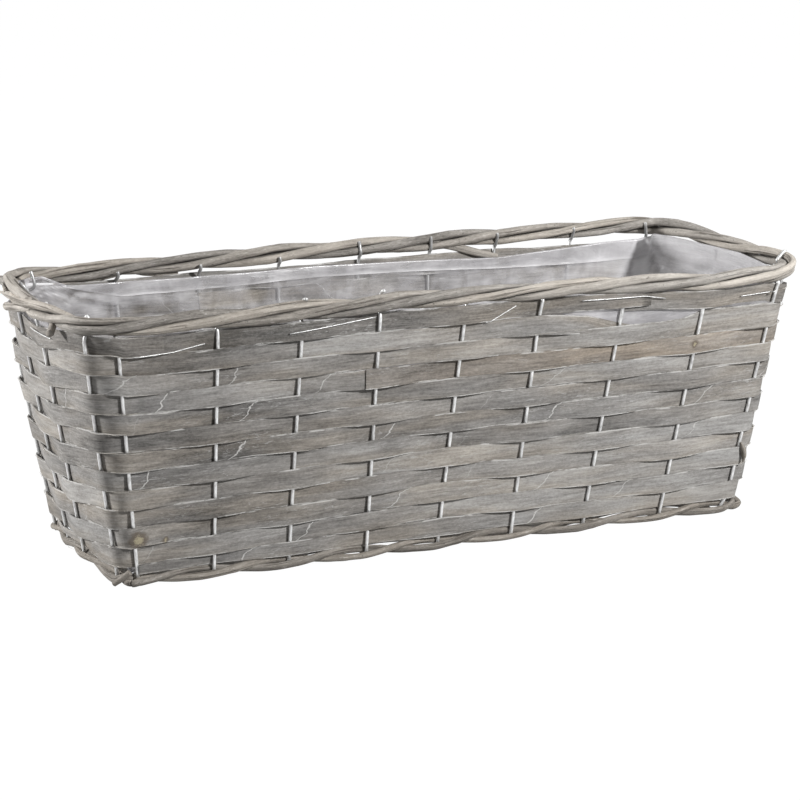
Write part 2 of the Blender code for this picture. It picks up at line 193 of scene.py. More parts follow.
def wall_points(place, height, outward=0.0):
    """Points on the wall's middle surface, moved outward in the level plane."""
    place, height, outward = np.broadcast_arrays(place, height, outward)
    half_length, half_width, radius = wall_sizes(height)
    section = np.floor(place).astype(int) % SECTIONS
    share = place - np.floor(place)
    side = section // 2
    corner = section % 2
    angle = (side - 1 + corner * share) * math.pi / 2
    x_side = np.where((section >= 1) & (section <= 3), 1, -1)
    y_side = np.where((section >= 3) & (section <= 5), 1, -1)
    corner_x, corner_y = half_length - radius, half_width - radius
    run = 2 * share - 1
    x = np.where(side % 2 == 1, x_side * half_length, -y_side * run * corner_x)
    y = np.where(side % 2 == 1, x_side * run * corner_y, y_side * half_width)
    x = np.where(corner == 1, x_side * corner_x + radius * np.cos(angle), x)
    y = np.where(corner == 1, y_side * corner_y + radius * np.sin(angle), y)
    arc = math.pi * radius / 2
    straight = 2 * corner_y
    starts = np.select([section % 4 == 1, section % 4 == 2, section % 4 == 3], [0, arc, arc + straight])
    lengths = np.where(corner == 1, arc, straight)
    along = (starts + share * lengths) / (2 * arc + straight)
    bulge = np.where(section % 4 > 0, END_BULGE * np.sin(math.pi * along), 0)
    pull = MM * np.interp(place % SECTIONS, CORNER_PULL_PLACES, CORNER_PULLS)
    outward = outward + bulge - pull * ease(*CORNER_PULL_HEIGHTS, height)
    return np.stack([x + outward * np.cos(angle), y + outward * np.sin(angle), height], -1)


def spiral_length(turn, place):
    """Distance along the weave, measured at half height, from round 0's place 0."""
    middle = RIM_HEIGHT / 2
    return wall_length(place, middle) + turn * wall_length(SECTIONS, middle)


def spiral_place(turn, length):
    middle = RIM_HEIGHT / 2
    return wall_place(length - turn * wall_length(SECTIONS, middle), middle)


def pitch_and_height(turn, place):
    """A round's local pitch and the height of its middle."""
    first = FIRST_ROUND_HEIGHT + FIRST_PITCH * np.interp(place, ROUND_PLACES, FIRST_LIFTS)
    twelfth = RIM_HEIGHT * np.interp(place, ROUND_PLACES, TWELFTH_SHARES)
    pitch = (twelfth - first) / (FULL_ROUNDS - 1)
    return pitch, first + pitch * turn


def rim_height(place):
    turned = (np.asarray(place) - RIM_LIFT_PLACES[0]) % SECTIONS + RIM_LIFT_PLACES[0]
    return RIM_HEIGHT + RIM_LIFT_UNIT * np.interp(turned, RIM_LIFT_PLACES, RIM_LIFTS)


def stake_places(height):
    return STAKE_FEET + (STAKE_TOPS - STAKE_FEET) * height / RIM_HEIGHT


def weave_sides(turn):
    """+1 where a round passes outside a stake and -1 inside, in even steps between."""
    _, height = pitch_and_height(turn, WEAVE_START)
    stakes = stake_places(height)
    known = np.concatenate([[stakes[-1] - SECTIONS], stakes, [stakes[0] + SECTIONS]])
    return known, [1 if (i + turn * len(stakes)) % 2 else -1 for i in range(-1, len(stakes) + 1)]


def weave_swing(turn, place):
    """Where a round runs between the inner side of the stakes, -1, and the outer, +1."""
    swings = []
    for step in (0, 1):
        known, sides = weave_sides(turn + step)
        sides = [-side for side in sides] if step else sides
        swings.append(np.interp(spiral_length(0, place), spiral_length(0, known), sides))
    share = (place - WEAVE_START) / SECTIONS
    return np.sin((swings[0] * (1 - share) + swings[1] * share) * math.pi / 2)


def grid_faces(rows, columns, closed=False):
    faces = []
    for i in range(rows - 1):
        for j in range(columns if closed else columns - 1):
            k = (j + 1) % columns
            faces.append((i * columns + j, (i + 1) * columns + j, (i + 1) * columns + k, i * columns + k))
    return faces


def plate(front, back, values):
    """An island for a thin strip: two grids of points, one behind the other, closed round the rim."""
    rows, columns = front.shape[:2]
    behind = rows * columns
    faces = grid_faces(rows, columns)
    faces += [tuple(behind + v for v in reversed(face)) for face in faces]
    edge = [i * columns for i in range(rows)] + [(rows - 1) * columns + j for j in range(1, columns)]
    edge += [i * columns + columns - 1 for i in range(rows - 2, -1, -1)] + list(range(columns - 2, 0, -1))
    faces += [(b, a, a + behind, b + behind) for a, b in zip(edge, edge[1:] + edge[:1])]
    return np.stack([front, back]), faces, {key: np.stack([value, value]) for key, value in values.items()}


def stacked(*columns):
    return np.stack(np.broadcast_arrays(*columns), -1)


def placed(name, data):
    made = bpy.data.objects.new(name, data)
    bpy.context.scene.collection.objects.link(made)
    return made


def add_piece(name, islands, surface, nodes=(), sharp=False):
    """One object from islands of (points, faces, attributes), riding on the basket."""
    points, faces, values = [], [], {}
    for island_points, island_faces, attributes in islands:
        first = sum(len(p) for p in points)
        points.append(island_points.reshape(-1, 3))
        faces += [tuple(v + first for v in face) for face in island_faces]
        for key, value in attributes.items():
            values.setdefault(key, []).append(value.reshape(-1, 3))
    mesh = bpy.data.meshes.new(name)
    mesh.from_pydata(np.concatenate(points).tolist(), [], faces)
    for key, value in values.items():
        attribute = mesh.attributes.new(key, "FLOAT_VECTOR", "POINT")
        attribute.data.foreach_set("vector", np.concatenate(value).astype(np.float32).ravel())
    mesh.shade_smooth()
    if sharp:
        mesh.set_sharp_from_angle(angle=math.radians(40))
    made = placed(name, mesh)
    mesh.materials.append(surface.material)
    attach(made, "root")
    if nodes:
        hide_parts(*nodes)
    return made


def tube(path, radius, sides, around=None):
    """An island for a rod or wire: rings along a path, each turned with it, with flat ends.
    around(along, angle) gives the radius as a share of the rod's own."""
    path = np.asarray(path)
    forward = np.gradient(path, axis=0)
    steps = np.linalg.norm(forward, axis=1)
    # A tube ends before the first place where its path stands still, as it has no direction there
    count = int(np.argmax(steps == 0)) or len(path)
    path, forward = path[:count], forward[:count] / steps[:count, None]
    side = np.cross(forward[0], (0.0, 0.0, 1.0))
    if np.linalg.norm(side) < 0.1:
        side = np.cross(forward[0], (0.0, 1.0, 0.0))
    sides_at = []
    for way in forward:
        side = side - way * np.dot(side, way)
        side = side / np.linalg.norm(side)
        sides_at.append(side)
    across = np.array(sides_at)
    up = np.cross(across, forward)
    steps = np.linalg.norm(np.diff(path, axis=0), axis=1)
    along = np.concatenate([[0.0], np.cumsum(steps)])[:, None]
    angle = np.linspace(0, 2 * math.pi, sides, endpoint=False)[None, :]
    radii = np.broadcast_to(np.reshape(radius, (-1, 1)), (len(path), sides)).astype(float)
    if around:
        radii = radii * around(along, angle)
    ring = np.cos(angle)[..., None] * across[:, None] + np.sin(angle)[..., None] * up[:, None]
    points = path[:, None] + radii[..., None] * ring
    faces = grid_faces(len(path), sides, closed=True)
    faces.append(tuple(range(sides)))
    faces.append(tuple(reversed(range((len(path) - 1) * sides, len(path) * sides))))
    return points, faces, stacked(along, angle * np.mean(radius), angle / math.pi - 1)


def add_rod(name, path, radius, sides, surface, nodes=(), kind=None, around=None):
    """A piece that is one rod or wire. Its kind is its tone, warmth and seed."""
    points, faces, grain = tube(path, radius, sides, around)
    values = {"grain": grain}
    if kind:
        values["splint"] = np.broadcast_to(kind, grain.shape)
    add_piece(name, [(points, faces, values)], surface, nodes)


class Value:
    """A shader socket that adds Math nodes when sums are done on it."""

    def __init__(self, surface, socket):
        self.surface, self.socket = surface, socket

    def sum(self, operation, *values):
        sockets = dict(zip(("Value", "Value_001"), values))
        return self.surface.node("Math", {"operation": operation}, sockets)

    def __add__(self, other):
        return self.sum("ADD", self, other)

    def __sub__(self, other):
        return self.sum("SUBTRACT", self, other)

    def __rsub__(self, other):
        return self.sum("SUBTRACT", other, self)

    def __mul__(self, other):
        return self.sum("MULTIPLY", self, other)

    def above(self, low, high):
        """0 below low, 1 above high."""
        return self.surface.node(
            "MapRange", {"interpolation_type": "SMOOTHSTEP"},
            {"Value": self, "From Min": low, "From Max": high})

    def size(self):
        return self.sum("ABSOLUTE", self)

    def larger(self, other):
        return self.sum("MAXIMUM", self, other)

    __radd__, __rmul__ = __add__, __mul__


class Surface:
    """A material on one Principled shader, and the name of a slot, which is kept but not used."""

    def __init__(self, name, slot=None, **fixed):
        self.slot = slot or name
        self.material = bpy.data.materials.new(name)
        self.material.use_nodes = True
        self.tree = self.material.node_tree
        self.shader = self.tree.nodes["Principled BSDF"]
        for key, value in fixed.items():
            self.set(key.replace("_", " "), value)

    def set(self, name, value):
        self.fill(self.shader.inputs[name], value)

    def fill(self, socket, value):
        if isinstance(value, Value):
            self.tree.links.new(value.socket, socket)
        elif isinstance(value, tuple) and socket.type == "RGBA":
            socket.default_value = (*value, 1.0)
        else:
            socket.default_value = value

    def node(self, kind, settings=None, sockets=None, out=0):
        made = self.tree.nodes.new("ShaderNode" + kind)
        for key, value in (settings or {}).items():
            if key == "stops":
                stops = made.color_ramp.elements
                while len(stops) < len(value):
                    stops.new(1.0)
                for stop, (place, colour) in zip(stops, value):
                    stop.position = place
                    stop.color = (*colour, 1.0)
            else:
                setattr(made, key, value)
        inputs = {socket.identifier: socket for socket in made.inputs}
        for key, value in (sockets or {}).items():
            self.fill(inputs[key], value)
        return Value(self, made.outputs[out])

    def attribute(self, name):
        return self.node("Attribute", {"attribute_name": name}, out=1)

    def split(self, vector):
        made = self.node("SeparateXYZ", sockets={"Vector": vector}).socket.node
        return [Value(self, socket) for socket in made.outputs]

    def stretched(self, vector, scale, shift=(0.0, 0.0, 0.0)):
        return self.node("VectorMath", {"operation": "MULTIPLY_ADD"}, {
            "Vector": vector, "Vector_001": scale, "Vector_002": shift})

    def noise(self, vector, detail=3.0, roughness=0.6, distortion=0.0):
        return self.node("TexNoise", sockets={
            "Vector": vector, "Scale": 1.0, "Detail": detail, "Roughness": roughness,
            "Distortion": distortion})

    def ramp(self, value, *stops):
        return self.node("ValToRGB", {"stops": stops}, {"Fac": value})

    def mix(self, share, first, second, blend="MIX"):
        return self.node("Mix", {"data_type": "RGBA", "blend_type": blend},
                         {"Factor_Float": share, "A_Color": first, "B_Color": second}, out=2)

    def tinted(self, share, colour, tint):
        return self.mix(share, colour, self.mix(1.0, colour, tint, "MULTIPLY"))

    def painted(self, colour, *coats):
        for share, paint in coats:
            colour = self.mix(share, colour, paint)
        return colour

    def bump(self, height, distance):
        self.set("Normal", self.node("Bump", sockets={
            "Height": height, "Distance": distance, "Strength": 1.0}))

    def layers(self, seed, shifts):
        """A function for noise stretched along and across the grain, different on each splint or rod."""
        shift = self.node("CombineXYZ", sockets={"X": seed * shifts[0], "Y": seed * shifts[1], "Z": seed})
        grain = self.attribute("grain")

        def layer(along, across, *detail):
            return self.noise(self.stretched(grain, (along, across, 0.0), shift), *detail)

        return layer


def splint_wood(name, dark, middle, pale):
    """Weathered chip wood: long fibres, cloudy grey stain, white scuffs, frayed pale edges, and a
    pale cracked crease where the splint bends out again after passing behind a wire. Painted shade
    darkens its edges, and darkens and greys the stretch just past a wire that it passes behind."""
    made = Surface(name, Specular_IOR_Level=0.22)
    tone, warmth, seed = made.split(made.attribute("splint"))
    crease, force, knot = made.split(made.attribute("crease"))
    edge = made.split(made.attribute("grain"))[2].size()
    layer = made.layers(seed, (3.1, 7.3))
    fibre = layer(110.0, 2300.0, 3.0, 0.7)
    streak = layer(42.0, 560.0, 4.0, 0.64)
    mottle = layer(430.0, 700.0, 4.0, 0.7)
    cloud = layer(20.0, 75.0, 3.0, 0.6)
    # tone also carries painted light and shade by place
    value = streak * 0.62 + fibre * 0.42 + mottle * 0.48 + cloud * 0.62 + tone * 0.15 - 0.57
    colour = made.ramp(value, (0.16, dark), (0.5, middle), (0.84, pale))
    colour = made.tinted(warmth.above(0.0, 1.0), colour, (1.07, 0.995, 0.915))
    colour = made.tinted((warmth * -1.0).above(0.0, 1.0), colour, (0.97, 1.0, 1.03))
    drift = layer(9.0, 60.0, 2.0, 0.5)
    colour = made.tinted(drift.above(0.48, 0.66) * 0.85, colour, (1.045, 1.0, 0.935))
    colour = made.tinted((drift * -1.0).above(-0.52, -0.34) * 0.85, colour, (0.965, 0.985, 1.01))
    scuff = layer(130.0, 620.0, 6.0, 0.74, 0.8)
    patch = layer(15.0, 70.0, 2.0, 0.5)
    shade_and_wear_zone = crease.above(-24 * MM, -12 * MM) * (1 - crease.above(0.0, 6 * MM))
    # Painted shade: darker and greyer just past a wire that the splint passes behind, where it lies
    # recessed
    colour = made.tinted(shade_and_wear_zone * force * 0.4, colour, (0.84, 0.86, 0.90))
    wash = scuff.above(0.53, 0.66) * (patch.above(0.46, 0.66) + shade_and_wear_zone * force * 0.35)
    bend = layer(110.0, 230.0, 2.0, 0.55) * 6.5 * MM + layer(420.0, 600.0, 2.0, 0.5) * 1.3 * MM
    crack = (1 - (crease + bend - 3.9 * MM).size().above(0.22 * MM, 0.80 * MM)) * force
    branch = (1 - (crease * 0.7 - bend + 9.0 * MM).size().above(0.1 * MM, 0.5 * MM)) * force * shade_and_wear_zone
    breaks = layer(75.0, 280.0, 3.0, 0.6)
    line = crack * breaks.above(0.26, 0.40) + branch * breaks.above(0.55, 0.64) * 0.4
    flecks = layer(260.0, 1500.0, 2.0, 0.5)
    rubbed = layer(30.0, 110.0, 3.0, 0.6).above(0.48, 0.55)
    frayed = edge.above(0.86, 0.94) * rubbed * scuff.above(0.36, 0.52)
    knot = knot * (0.6 + 0.8 * scuff) + (mottle - 0.5) * 1.1 * knot.above(0.0, 0.2)
    # The dark along the splint's edges is painted shade at the seams
    colour = made.painted(
        colour, (wash * 0.55, (0.55, 0.545, 0.535)), (flecks.above(0.64, 0.76) * 0.4, dark),
        (edge.above(0.94, 1.0) * 0.2, dark), (frayed * 0.75, (0.64, 0.63, 0.61)),
        (line.above(0.0, 0.9) * 0.8, (0.66, 0.65, 0.63)),
        (knot.above(0.05, 0.45) * 0.75, (0.115, 0.09, 0.065)),
        (knot.above(0.50, 0.80) * 0.75, (0.46, 0.41, 0.28)))
    made.set("Base Color", colour)
    made.set("Roughness", 0.9 - streak * 0.18)
    made.bump(fibre * 0.5 + streak + mottle * 0.4 + wash * 0.3 + line * 0.8, 0.24 * MM)
    return made


def willow(name, dark, middle, pale):
    """Peeled willow: fine lengthwise lines, dark pith cracks and specks, with painted shade where the rim
    rods face each other and painted light and shade along the rim.
    """
    made = Surface(name, Specular_IOR_Level=0.28)
    tone, warmth, seed = made.split(made.attribute("splint"))
    painted_gap_shade = made.split(made.attribute("crease"))[0]
    layer = made.layers(seed, (2.3, 5.9))
    lines = layer(60.0, 1300.0, 3.0, 0.7)
    mottle = layer(300.0, 620.0, 4.0, 0.7)
    cloud = layer(30.0, 170.0, 4.0, 0.62)
    # tone also carries painted light and shade along the rim
    value = lines * 0.55 + mottle * 0.45 + cloud * 0.7 + tone * 0.16 - 0.35
    colour = made.ramp(value, (0.2, dark), (0.5, middle), (0.85, pale))
    crack = layer(11.0, 330.0, 2.0, 0.5)
    specks = layer(420.0, 700.0, 3.0, 0.6)
    spots = specks.above(0.60, 0.68) * layer(50.0, 160.0, 2.0, 0.5).above(0.50, 0.60)
    scuff = layer(140.0, 600.0, 4.0, 0.7).above(0.56, 0.70)
    colour = made.painted(
        colour, (crack.above(0.62, 0.67) * 0.7, (0.07, 0.06, 0.05)),
        (spots * 0.85, (0.08, 0.072, 0.065)), (scuff * 0.5, (0.64, 0.625, 0.60)))
    colour = made.tinted(warmth, colour, (1.05, 1.0, 0.93))
    # Painted shade on the sides of the rim rods that face one another
    made.set("Base Color", made.mix(painted_gap_shade * 0.85, colour, (0.05, 0.045, 0.04)))
    made.set("Roughness", 0.82 - lines * 0.15)
    made.bump(lines * 0.6 + mottle * 0.5 - crack.above(0.60, 0.67) * 1.2 - spots * 0.5 + cloud * 0.5,
              0.3 * MM)
    return made


def galvanised(name, colour):
    """Dull zinc: mottled grey, brighter where it is rubbed, and darkened towards the back with painted
    shade.
    """
    made = Surface(name, Metallic=0.5)
    place = made.node("TexCoord", out=3)
    mottle = made.noise(made.stretched(place, (900.0, 900.0, 260.0)), 3.0, 0.6)
    stain = made.noise(made.stretched(place, (160.0, 160.0, 90.0)), 2.0, 0.5)
    zinc = made.ramp(mottle * 0.6 + stain * 0.4, (0.34, tuple(0.45 * c for c in colour)), (0.60, colour))
    # Painted shade: wires darker towards the back
    shaded = made.split(place)[1].above(0.0, 60 * MM)
    made.set("Base Color", made.mix(shaded * 0.6, zinc, tuple(0.4 * c for c in colour)))
    made.set("Roughness", 0.30 + mottle * 0.25)
    made.bump(mottle, 0.05 * MM)
    return made


def film(name):
    """Clear soft film, milky where it folds over itself, with blotches that show what is behind, and
    painted light and shade: light and dark bands, a painted highlight on the hem, and painted light
    that makes it paler at the right end and in the back right corner.
    """
    made = Surface(name, IOR=1.5, Coat_Roughness=0.14)
    grain = made.attribute("grain")
    milk, bright, shade = made.split(made.attribute("splint"))
    streak = made.noise(made.stretched(grain, (11.0, 70.0, 0.0)), 4.0, 0.62, 1.4)
    fine = made.noise(made.stretched(grain, (60.0, 260.0, 0.0)), 4.0, 0.7, 0.8)
    blotch = made.noise(made.stretched(grain, (46.0, 30.0, 0.0)), 3.0, 0.55, 0.6)
    colour = made.ramp(streak, (0.34, (0.47, 0.458, 0.475)), (0.64, (0.70, 0.688, 0.705)))
    # Paler colour where the shade and bright values are high; these carry painted light and shade
    colour = made.mix(shade.above(0.2, 0.7), colour, (0.84, 0.83, 0.84))
    made.set("Base Color", made.mix(bright, colour, (0.84, 0.83, 0.84)))
    made.set("Alpha", milk + shade * 1.1 + (streak * 0.6 + fine * 0.4 - 0.5) * 0.5
             + (blotch - 0.5) * 2.2 * (1 - bright) * (1 - milk))
    made.set("Roughness", 0.18 + fine * 0.18)
    made.set("Coat Weight", 0.5)
    made.bump(fine * 0.35 + streak * 0.65 + blotch * 0.4, 0.5 * MM)
    return made


GREY_SPLINT = splint_wood("splint_wood", (0.095, 0.090, 0.084), (0.272, 0.258, 0.242), (0.48, 0.463, 0.44))
BASE_SPLINT = splint_wood("base_wood", (0.105, 0.096, 0.086), (0.25, 0.234, 0.212), (0.42, 0.40, 0.37))
PALE_WILLOW = willow("willow_rod", (0.125, 0.115, 0.103), (0.352, 0.330, 0.304), (0.60, 0.575, 0.54))
DARK_WILLOW = willow("border_willow", (0.075, 0.067, 0.059), (0.22, 0.202, 0.181), (0.42, 0.397, 0.366))
WIRE = galvanised("galvanised_wire", (0.90, 0.90, 0.895))
FIBRE = Surface("loose_fibre", "splint_wood", Roughness=0.8)
FIBRE.set("Base Color", FIBRE.ramp(
    FIBRE.noise(FIBRE.stretched(FIBRE.node("TexCoord", out=3), (90.0, 90.0, 90.0))),
    (0.3, (0.34, 0.31, 0.27)), (0.6, (0.66, 0.63, 0.58))))
FILM = film("liner_film")


# Where one splint ends and the next is laid over it: round, place, tone, warmth
JOINTS = (
    (0, 0.06, 0.15, -0.1), (0, 4.3, 0.3, 0.1), (1, 2.6, 0.05, -0.2), (2, 4.6, -0.05, 0.2),
    (3, 4.85, 0.5, 0.0), (4, 2.3, -0.2, -0.1), (5, 4.15, -0.3, 0.0), (6, 4.5, -0.15, 0.1),
    (7, 2.7, 0.05, 0.0), (8, 2.4, 0.15, 0.1), (9, 0.353, -0.25, 1.0), (9, 2.15, 0.15, 0.1),
    (10, 4.7, 0.15, 0.1), (11, 0.757, -0.5, 0.25),
)
JOINT_OVERLAP = 18 * MM
JOINT_LIFT = 1.0 * MM
JOINT_LIFT_RUN = 40 * MM
FIRST_END_RUN = 0.11
BEFORE_FIRST_END = -120 * MM
# By place, how far the splints either side of the gap in the front stand off their even heights, and
# how far the upper edge of the eleventh round rises to close its right end, in millimetres
GAP_SHIFTS = {
    (11, 12): ((0.63, 0.0), (0.70, -3.5), (0.752, -11.0), (0.78, -14.0)),
    (11, 13): ((0.757, 10.5), (0.81, 9.0), (0.855, 7.6), (0.894, 6.4), (0.98, 6.6), (1.1, 5.0), (2.2, 0.0)),
}
GAP_TOPS = {(10, 11): ((0.86, 0.0), (0.90, 4.8), (1.1, 3.5), (2.1, 0.0))}
# Painted light and shade on the weave by place, darker at the front left corner and lighter towards
# the front's right end, and the tone of its last round on top of that
PAINTED_LIGHT_PLACES = (0.0, 0.11, 0.18, 0.30, 0.45, 0.72, 0.85, 1.05, 1.3, 7.6, 8.0, 8.06)
PAINTED_LIGHT_AND_SHADE = (-0.9, -0.85, -0.45, -0.1, 0.0, 0.05, 0.35, 0.3, 0.0, 0.0, -0.5, -0.8)
TOP_SHADES = (
    (0.06, -0.25), (0.30, -0.6), (0.42, -0.25), (0.50, -0.2), (0.60, -0.5), (0.784, -0.5), (0.789, -1.7),
    (0.80, -1.7))
# Knots in the front's splints, in millimetres: x, height, radius
SPOTS = ((-219.5, 32.5, 8.0), (-201.1, 30.0, 3.4), (176.9, 127.5, 3.8))
SPLINT_HALF_WIDTH = 6.4 * MM
SPLINT_STATION = 2.6 * MM
POINTS_ACROSS = 9
BLOCK_TONE = 0.4


def inner_stakes():
    """Distances along the whole spiral to the wires that it passes on their inner side."""
    lengths = []
    for turn in range(FULL_ROUNDS + 1):
        known, sides = weave_sides(turn)
        lengths += [spiral_length(turn, k) for k, side in zip(known[1:-1], sides[1:-1]) if side < 0]
    return np.array([BEFORE_FIRST_END, *lengths])


INNER_STAKES = inner_stakes()


def creases(whole, across):
    """By the last wire that the splint passed on its inner side: the distance from the crease after it,
    the crease's strength, and the tone of the splint from there on."""
    last = np.searchsorted(INNER_STAKES, whole, side="right") - 1
    chance = np.random.default_rng(400).uniform(0, 1, (4, len(INNER_STAKES)))[:, last, None]
    tones = BLOCK_TONE * np.random.default_rng(401).uniform(-1, 1, len(INNER_STAKES))[last]
    middle = (11 + 16 * chance[0]) * MM
    lean = 0.15 + 0.55 * chance[1]
    hook = (2 + 5 * chance[2]) * MM
    force = np.clip(1.5 * chance[3] - 0.55, 0, 1)
    curve = middle + lean * across + hook * (across / SPLINT_HALF_WIDTH) ** 3
    return (whole - INNER_STAKES[last])[:, None] - curve, force, tones


def splint_strip(turn, start, end, joint, over=False):
    """One stretch of splint as an island: a little wider where it crosses a stake."""
    _, _, tone, warmth = JOINTS[joint]
    first, last = spiral_length(turn, start), spiral_length(turn, end)
    whole = np.linspace(first, last, int((last - first) / SPLINT_STATION) + 2)
    place = spiral_place(turn, whole)
    pitch, height = pitch_and_height(turn, place)
    if (turn, joint) in GAP_SHIFTS:
        height = height + MM * np.interp(place, *zip(*GAP_SHIFTS[turn, joint]))
    swing = weave_swing(turn, place)
    width = pitch * (1.0 + 0.085 * np.abs(swing)) - 0.1 * MM
    width = width + 0.35 * MM * wander(whole, 60 * MM, 11 + joint)
    height = height + 0.35 * MM * wander(whole, 90 * MM, 23)
    low = height - width / 2 + 0.14 * MM * wander(whole, 7 * MM, 31)
    high = height + width / 2 + 0.14 * MM * wander(whole, 6 * MM, 37)
    if (turn, joint) in GAP_TOPS:
        high = high + MM * np.interp(place, *zip(*GAP_TOPS[turn, joint]))
    high = np.minimum(high, rim_height(place) - STRIP_BELOW_RIM)
    low = np.maximum(low, WEAVE_BOTTOM)
    if turn == 0:
        # The first end tapers in under the round above it
        above = pitch_and_height(0, place + SECTIONS)
        taper = np.where(place < WEAVE_START, above[1] - above[0] / 2, high)
        high = np.minimum(high, taper)
    share = np.linspace(-1, 1, POINTS_ACROSS)[None, :]
    tilt = 0.4 * MM * wander(whole, 45 * MM, 41)[:, None]
    bow = 0.15 * MM * (1 - share**2) + 0.12 * MM * wander(whole, 18 * MM, 43)[:, None]
    outward = WEAVE_OFFSET * swing[:, None] + tilt * share + bow - 0.1 * MM
    if over:
        outward = outward + JOINT_LIFT * (1 - ease(first, first + JOINT_LIFT_RUN, whole))[:, None]
    heights = (low + high)[:, None] / 2 + (high - low)[:, None] / 2 * share
    front = wall_points(place[:, None], heights, outward + SPLINT_THICKNESS / 2)
    back = wall_points(place[:, None], heights, outward - SPLINT_THICKNESS / 2)
    across = heights - height[:, None]
    grain = stacked(whole[:, None], across, share)
    crease, force, tones = creases(whole, across)
    # The joint's tone and each block's own tone, plus painted light and shade by place
    tones = tone + np.interp(place, PAINTED_LIGHT_PLACES, PAINTED_LIGHT_AND_SHADE) + tones
    if turn == FULL_ROUNDS:
        tones = tones + np.interp(place, *zip(*TOP_SHADES))
    warmths = warmth * (0.45 + 0.55 * ease(start, start + 0.25, place))
    kind = stacked(tones, warmths, 1.7 * joint)[:, None] + 0 * grain
    if (turn, joint) in GAP_SHIFTS:
        force = force * ease(0.9, 0.96, place)[:, None]
    knot = np.zeros(across.shape)
    for x, z, radius in SPOTS:
        distance = np.hypot(front[..., 0] / MM - x, front[..., 2] / MM - z)
        knot = np.maximum(knot, np.clip(1 - distance / radius, 0, 1) * (front[..., 1] < 0))
    return plate(front, back, {"grain": grain, "splint": kind, "crease": stacked(crease, force, knot)})


def splint_stretches():
    """The spiral cut at its joints and at each round's start: turn, start, end, joint, and whether its
    start is laid over the splint before."""
    stretches = []
    spots = [turn * SECTIONS + place for turn, place, _, _ in JOINTS]
    for turn in range(FULL_ROUNDS + 1):
        first = turn * SECTIONS + WEAVE_START
        last = first - WEAVE_START + (LAST_ROUND_END if turn == FULL_ROUNDS else SECTIONS + WEAVE_START)
        cuts = [first] + [s for s in spots if first < s < last] + [last]
        for low, high in zip(cuts, cuts[1:]):
            joint = max(i for i, s in enumerate(spots) if s <= low + 1e-6)
            start = low - turn * SECTIONS - (FIRST_END_RUN if low == spots[0] else 0.0)
            end = high - turn * SECTIONS
            if high in spots:
                end = spiral_place(turn, spiral_length(turn, end) + JOINT_OVERLAP)
            stretches.append((turn, start, end, joint, low in spots[1:]))
    return stretches


def add_splints():
    by_round = {}
    for turn, start, end, joint, over in splint_stretches():
        by_round.setdefault(turn, []).append(splint_strip(turn, start, end, joint, over))
    for turn, islands in by_round.items():
        number = f"{turn + 1:02d}"
        add_piece(f"splint_{number}", islands, GREY_SPLINT, [f"splint_round_{number}"], sharp=True)


def rim_pull(place):
    return MM * np.interp(place, RIM_PULL_PLACES, RIM_PULLS)


def rim_centre(place, rod):
    """A rim rod's distance outward and height at a place."""
    turn = RIM_TURNS * wall_length(place, RIM_HEIGHT) / wall_length(SECTIONS, RIM_HEIGHT)
    twist = 2 * math.pi * (turn + rod / RIM_RODS)
    radius = RIM_TWIST_RADIUS * np.interp(place, RIM_LOOSE_PLACES, RIM_LOOSE_SHARES)
    return radius * np.cos(twist) - rim_pull(place), rim_height(place) + radius * np.sin(twist)


def rod_surface(seed, amount, flat=0.0):
    """Uneven girth, a flattened section that turns slowly, swollen leaf knots and shallow ridges."""
    knots = np.random.default_rng(seed).uniform(0, 1.5, 14)

    def around(along, angle):
        girth = 1 + amount * wander(along, 40 * MM, seed) + 0.5 * amount * wander(along, 9 * MM, seed + 1)
        section = flat * np.cos(2 * (angle - 1.5 * wander(along, 130 * MM, seed + 4)))
        ridge = 0.03 * np.sin(3 * angle + 2 * wander(along, 70 * MM, seed + 2))
        ridge = ridge + 0.025 * np.sin(7 * angle + 3 * wander(along, 50 * MM, seed + 3))
        swell = sum(np.exp(-(((along - k) / (3 * MM)) ** 2)) for k in knots)
        return girth + section + ridge + 0.08 * swell

    return around


# Places for the rim's painted light and shade
RIM_PAINTED_LIGHT_PLACES = (0.0, 0.15, 0.4, 0.6, 1.0, 2.5, 3.6, 4.2, 5.0, 6.0, 7.5, 8.0)
RIM_SEAM_PLACE = 6.15
RIM_END_GAP = 1.5 * MM
# Painted light and shade on the rim by place: darker at the front left, lighter from the front's right end
# round the right end
RIM_PAINTED_LIGHT = (-0.65, -0.85, -0.5, 0.45, 0.65, 0.4, 0.1, -0.2, -0.3, -0.1, -0.2, -0.6)


def unsteady(along, wavelength, quick_wavelength, seed):
    """How far a rim rod strays from its even course."""
    slow = wander(along, wavelength, seed)
    return 0.5 * MM * slow + 0.2 * MM * wander(along, quick_wavelength, seed + 3)


